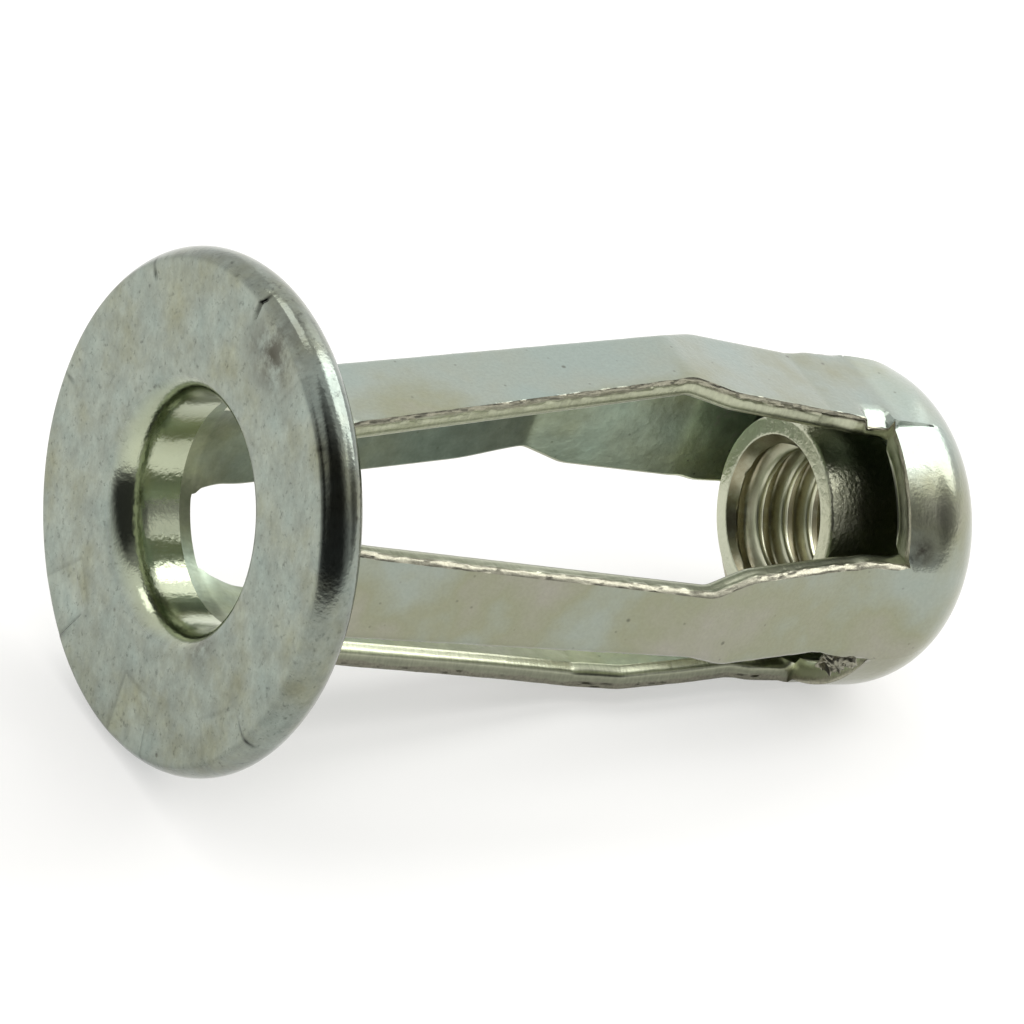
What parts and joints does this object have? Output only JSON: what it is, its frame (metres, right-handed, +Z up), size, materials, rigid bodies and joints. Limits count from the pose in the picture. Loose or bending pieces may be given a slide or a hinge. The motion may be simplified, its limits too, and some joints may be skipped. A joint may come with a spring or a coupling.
{
  "type": "jack nut",
  "caption": "Sheet-steel jack nut: a round flange with a screw hole, flat legs bent outwards that fold behind a panel, and a domed head with a threaded tube inside.",
  "frame": {"origin": "on the surface that it lies on, under the middle of its bounding box", "axes": "+Z up, +X from the flange to the head along the lying part, +Y to its left seen from the flange; its own axis leans 6.8 degrees down towards the head"},
  "size_m": [0.0236, 0.0134, 0.0134],
  "materials": {
    "zinc_steel": "bright zinc plate with a clear passivate, satin and faintly iridescent"
  },
  "bodies": {
    "root": {"jack_nut": "zinc_steel"}
  },
  "joints": []
}
